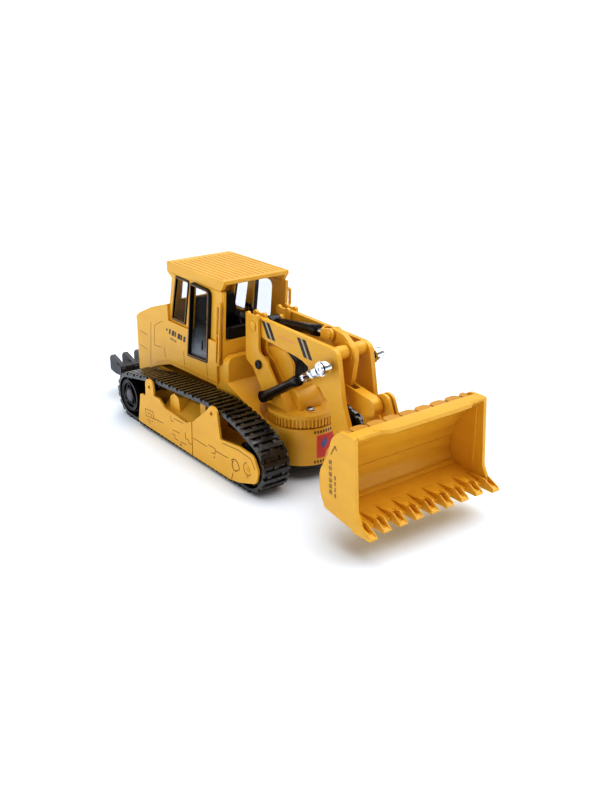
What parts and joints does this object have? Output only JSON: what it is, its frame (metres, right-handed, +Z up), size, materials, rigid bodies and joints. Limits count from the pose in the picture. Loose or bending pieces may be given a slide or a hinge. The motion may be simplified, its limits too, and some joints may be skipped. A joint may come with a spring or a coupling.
{
  "type": "toy tracked loader",
  "caption": "Toy tracked loader: crawler tracks, slatted-roof cab, slewing lift frame with tilt linkage, wide toothed bucket at the front and a ripper at the rear.",
  "frame": {"origin": "centre of the base: midway between ripper tips and bucket tooth tips, on the middle plane, on the floor under the tracks", "axes": "+X forward to the bucket, +Y to the machine's left, +Z up"},
  "size_m": [0.25, 0.079, 0.0897],
  "materials": {
    "yellow_plastic": "satin injection-moulded yellow",
    "black_rubber": "matt moulded rubber",
    "black_plastic": "fine grained black",
    "grey_plastic": "dark grey moulded",
    "steel": "plain turned steel",
    "chrome": "bright plated",
    "smoke_glass": "clear grey pane"
  },
  "bodies": {
    "chassis": {"hull": "yellow_plastic", "base_plate": "black_plastic", "base_screws": "steel", "body_shell": "yellow_plastic", "cab_shell": "yellow_plastic", "cab_roof": "yellow_plastic", "seat": "black_plastic", "console": "black_plastic", "handrail": "yellow_plastic", "grab_handle": "yellow_plastic", "rear_axle": "steel", "front_axle": "steel", "ripper_pins": "steel", "window_seals_right": "black_rubber", "window_glass_right": "smoke_glass", "track_frame_right": "yellow_plastic", "frame_core_right": "yellow_plastic", "track_belt_right": "black_rubber", "window_seals_left": "black_rubber", "window_glass_left": "smoke_glass", "track_frame_left": "yellow_plastic", "frame_core_left": "yellow_plastic", "track_belt_left": "black_rubber"},
    "turntable": {"turntable": "yellow_plastic", "turntable_screws": "steel", "hood": "yellow_plastic", "tower_right": "yellow_plastic", "tower_left": "yellow_plastic", "tower_bolts": "black_plastic", "tower_beam": "yellow_plastic", "arm_pivot_pins": "steel"},
    "lift_arms": {"arm_right": "yellow_plastic", "arm_left": "yellow_plastic", "cross_tube": "yellow_plastic", "lift_eye_pins": "chrome", "bucket_hinge_pins": "steel"},
    "bell_crank": {"bell_crank": "yellow_plastic"},
    "tilt_link": {"tilt_link": "yellow_plastic"},
    "tilt_barrel": {"tilt_barrel": "black_plastic"},
    "tilt_rod": {"tilt_rod": "chrome", "tilt_clevis": "yellow_plastic"},
    "bucket": {"bucket_shell": "yellow_plastic", "bucket_side_right": "yellow_plastic", "bucket_side_left": "yellow_plastic", "bucket_teeth": "yellow_plastic", "bucket_ribs": "yellow_plastic", "bucket_ears": "yellow_plastic"},
    "ripper": {"ripper_beam": "grey_plastic", "ripper_shanks": "grey_plastic"},
    "sprocket_right": {"sprocket_right": "black_plastic"},
    "idler_right": {"idler_right": "black_plastic"},
    "lift_barrel_right": {"lift_barrel_right": "black_plastic"},
    "lift_rod_right": {"lift_rod_right": "chrome"},
    "sprocket_left": {"sprocket_left": "black_plastic"},
    "idler_left": {"idler_left": "black_plastic"},
    "lift_barrel_left": {"lift_barrel_left": "black_plastic"},
    "lift_rod_left": {"lift_rod_left": "chrome"}
  },
  "joints": [
    {"name": "slew", "type": "hinge", "parent": "chassis", "child": "turntable", "pos_m": [0.0308, 0, 0.0333], "axis": [0, 0, 1], "range_deg": [-32, 32]},
    {"name": "lift", "type": "hinge", "parent": "turntable", "child": "lift_arms", "pos_m": [0.007, 0, 0.0693], "axis": [0, -1, 0], "range_deg": [-5, 38]},
    {"name": "tilt", "type": "hinge", "parent": "lift_arms", "child": "bucket", "pos_m": [0.0785, 0, 0.025], "axis": [0, -1, 0], "range_deg": [-22, 25]},
    {"name": "crank_turn", "type": "hinge", "parent": "lift_arms", "child": "bell_crank", "pos_m": [0.065, 0, 0.0698], "axis": [0, -1, 0], "range_deg": [-28.6, 25.24]},
    {"name": "link_turn", "type": "hinge", "parent": "bell_crank", "child": "tilt_link", "pos_m": [0.0605, 0, 0.051], "axis": [0, -1, 0], "range_deg": [-24.8, 28.1]},
    {"name": "tilt_barrel_turn", "type": "hinge", "parent": "lift_arms", "child": "tilt_barrel", "pos_m": [0.007, 0, 0.0693], "axis": [0, -1, 0], "range_deg": [-5.33, 5.97]},
    {"name": "tilt_rod_slide", "type": "slide", "parent": "tilt_barrel", "child": "tilt_rod", "axis": [0.9927, 0, 0.1204], "range_m": [-0.00281, 0.00317]},
    {"name": "lift_barrel_turn_right", "type": "hinge", "parent": "turntable", "child": "lift_barrel_right", "pos_m": [0.021, -0.0152, 0.038], "axis": [0, -1, 0], "range_deg": [-4.67, 31.53]},
    {"name": "lift_rod_slide_right", "type": "slide", "parent": "lift_barrel_right", "child": "lift_rod_right", "axis": [0.8575, 0, 0.5145], "range_m": [-0.00298, 0.02136]},
    {"name": "lift_barrel_turn_left", "type": "hinge", "parent": "turntable", "child": "lift_barrel_left", "pos_m": [0.021, 0.0152, 0.038], "axis": [0, -1, 0], "range_deg": [-4.67, 31.53]},
    {"name": "lift_rod_slide_left", "type": "slide", "parent": "lift_barrel_left", "child": "lift_rod_left", "axis": [0.8575, 0, 0.5145], "range_m": [-0.00298, 0.02136]},
    {"name": "idler_turn_right", "type": "hinge", "parent": "chassis", "child": "idler_right", "pos_m": [0.038, -0.0307, 0.0138], "axis": [0, 1, 0], "continuous": true},
    {"name": "sprocket_turn_right", "type": "hinge", "parent": "chassis", "child": "sprocket_right", "pos_m": [-0.078, -0.0307, 0.013], "axis": [0, 1, 0], "continuous": true},
    {"name": "idler_turn_left", "type": "hinge", "parent": "chassis", "child": "idler_left", "pos_m": [0.038, 0.0307, 0.0138], "axis": [0, 1, 0], "continuous": true},
    {"name": "sprocket_turn_left", "type": "hinge", "parent": "chassis", "child": "sprocket_left", "pos_m": [-0.078, 0.0307, 0.013], "axis": [0, 1, 0], "continuous": true},
    {"name": "ripper_lift", "type": "hinge", "parent": "chassis", "child": "ripper", "pos_m": [-0.104, 0, 0.019], "axis": [0, -1, 0], "range_deg": [-18, 15]}
  ],
  "couplings": [
    {"joint": "crank_turn", "follows": "tilt", "ratio": -1.12},
    {"joint": "link_turn", "follows": "tilt", "ratio": 1.1},
    {"joint": "tilt_barrel_turn", "follows": "tilt", "ratio": 0.215},
    {"joint": "tilt_rod_slide", "follows": "tilt", "m_per_rad": 0.0068},
    {"joint": "lift_barrel_turn_right", "follows": "lift", "ratio": 0.8139},
    {"joint": "lift_rod_slide_right", "follows": "lift", "m_per_rad": 0.0319},
    {"joint": "lift_barrel_turn_left", "follows": "lift", "ratio": 0.8139},
    {"joint": "lift_rod_slide_left", "follows": "lift", "m_per_rad": 0.0319},
    {"joint": "sprocket_turn_right", "follows": "idler_turn_right", "ratio": 1.08},
    {"joint": "sprocket_turn_left", "follows": "idler_turn_left", "ratio": 1.08}
  ]
}
